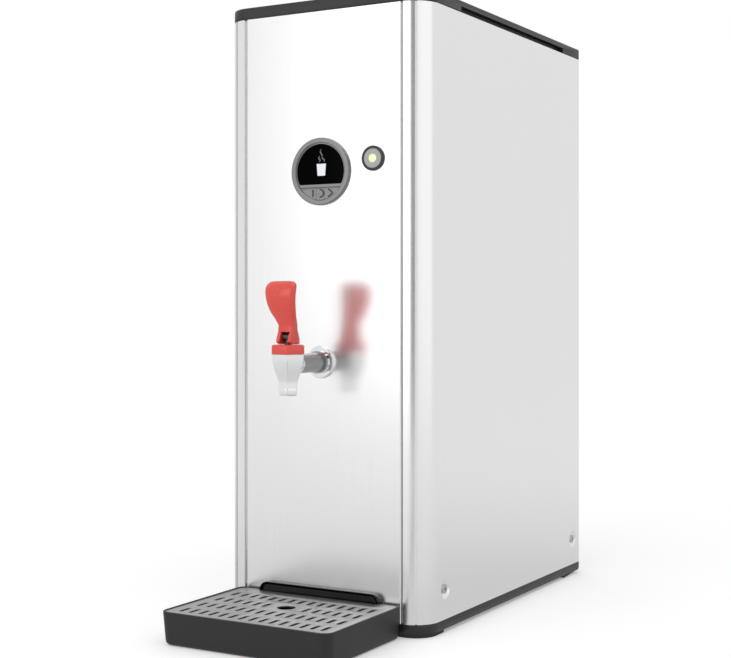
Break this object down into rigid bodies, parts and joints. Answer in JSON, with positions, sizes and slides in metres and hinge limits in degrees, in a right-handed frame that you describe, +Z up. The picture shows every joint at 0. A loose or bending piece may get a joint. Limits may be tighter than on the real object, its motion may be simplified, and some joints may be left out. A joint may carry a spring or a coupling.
{
  "type": "hot water urn",
  "caption": "Counter-top hot water urn: slim steel cabinet with lever tap, round display, power button and a pull-out drip tray with slotted grille.",
  "frame": {"origin": "middle of the whole outline seen from above, on the counter under the feet", "axes": "+Z up the cabinet, -Y towards the tap and the drip tray, +X to the viewer's right when facing the front"},
  "size_m": [0.21, 0.4995, 0.558],
  "materials": {
    "brushed_steel": "brushed stainless panel, satin",
    "galvanised_steel": "plain zinc-coated sheet",
    "dark_plastic": "fine-grained dark grey moulding",
    "black_plastic": "satin black moulding",
    "foot_rubber": "matt black rubber",
    "screw_steel": "zinc-plated",
    "display_grey": "silver-grey lacquered plastic",
    "display_glass": "black gloss window",
    "circuit_board": "green circuit board with dark parts",
    "cap_grey": "light grey cap",
    "lit_lens": "pale yellow lit lens",
    "tap_steel": "polished steel",
    "shank_steel": "satin dark steel",
    "rosette_chrome": "bright chrome",
    "lever_red": "glossy red plastic",
    "stem_steel": "turned steel",
    "brass": "plain brass",
    "silicone": "milky silicone",
    "gasket_silicone": "red silicone",
    "tank_steel": "plain stainless",
    "foam": "insulating foam",
    "white_plastic": "white engineering plastic",
    "coil_red": "moulded coil"
  },
  "bodies": {
    "root": {"base_pan": "dark_plastic", "feet": "foot_rubber", "floor_plate": "galvanised_steel", "front_panel": "brushed_steel", "left_corner_trim": "brushed_steel", "right_corner_trim": "brushed_steel", "left_side_panel": "brushed_steel", "right_side_panel": "brushed_steel", "rear_panel": "galvanised_steel", "lid": "dark_plastic", "side_screws": "screw_steel", "rear_screws": "screw_steel", "display_bezel": "display_grey", "display_window": "display_glass", "display_housing": "black_plastic", "display_board": "circuit_board", "button_bezel": "dark_plastic", "button_nut": "screw_steel", "button_switch": "black_plastic", "tap_body": "tap_steel", "tap_shank": "shank_steel", "tap_rosette": "rosette_chrome", "tap_washer": "foot_rubber", "tap_nut": "brass", "tap_bonnet": "lever_red", "tap_spring": "stem_steel", "outlet_hose": "silicone", "hose_clips": "screw_steel", "tank_stand": "galvanised_steel", "tank": "tank_steel", "tank_gasket": "gasket_silicone", "tank_cover": "tank_steel", "cover_screws": "screw_steel", "insulation": "foam", "heating_element": "tank_steel", "level_probe": "white_plastic", "temperature_sensor": "tank_steel", "overheat_cutout": "black_plastic", "inlet_valve": "white_plastic", "valve_coil": "coil_red", "inlet_hose": "silicone", "vent_tube": "silicone", "control_board": "circuit_board", "board_standoffs": "brass", "terminal_block": "white_plastic", "cable_gland": "black_plastic"},
    "lever": {"tap_lever": "lever_red"},
    "left_key": {"key_left": "display_grey"},
    "middle_key": {"key_middle": "display_grey"},
    "right_key": {"key_right": "display_grey"},
    "power_button": {"button_cap": "cap_grey", "button_lamp": "lit_lens"},
    "tray": {"drip_tray": "dark_plastic", "tray_hook": "black_plastic"},
    "grille": {"drip_grille": "brushed_steel"},
    "stem": {"tap_stem": "stem_steel", "tap_pin": "stem_steel", "tap_seat_cup": "silicone"}
  },
  "joints": [
    {"name": "stem_lift", "type": "slide", "parent": "root", "child": "stem", "axis": [0, 0, 1], "range_m": [0, 0.00252], "stiffness_N_per_m": 60, "springref_m": -0.003, "deforming": ["tap_spring"]},
    {"name": "lever_tilt", "type": "hinge", "parent": "stem", "child": "lever", "pos_m": [0, -0.17875, 0.2585], "axis": [1, 0, 0], "range_deg": [0, 45], "stiffness_Nm_per_rad": 0.02, "springref_deg": -11.46},
    {"name": "left_key_press", "type": "slide", "parent": "root", "child": "left_key", "axis": [0, 1, 0], "range_m": [0, 0.0005], "stiffness_N_per_m": 200, "springref_m": -0.0005},
    {"name": "middle_key_press", "type": "slide", "parent": "root", "child": "middle_key", "axis": [0, 1, 0], "range_m": [0, 0.0005], "stiffness_N_per_m": 200, "springref_m": -0.0005},
    {"name": "right_key_press", "type": "slide", "parent": "root", "child": "right_key", "axis": [0, 1, 0], "range_m": [0, 0.0005], "stiffness_N_per_m": 200, "springref_m": -0.0005},
    {"name": "power_press", "type": "slide", "parent": "root", "child": "power_button", "axis": [0, 1, 0], "range_m": [0, 0.002], "stiffness_N_per_m": 300, "springref_m": -0.001},
    {"name": "tray_slide", "type": "slide", "parent": "root", "child": "tray", "axis": [0, -1, 0], "range_m": [0, 0.15]},
    {"name": "grille_lift", "type": "slide", "parent": "tray", "child": "grille", "axis": [0, 0, 1], "range_m": [0, 0.03]}
  ],
  "couplings": [
    {"joint": "stem_lift", "follows": "lever_tilt", "m_per_rad": 0.0032}
  ]
}
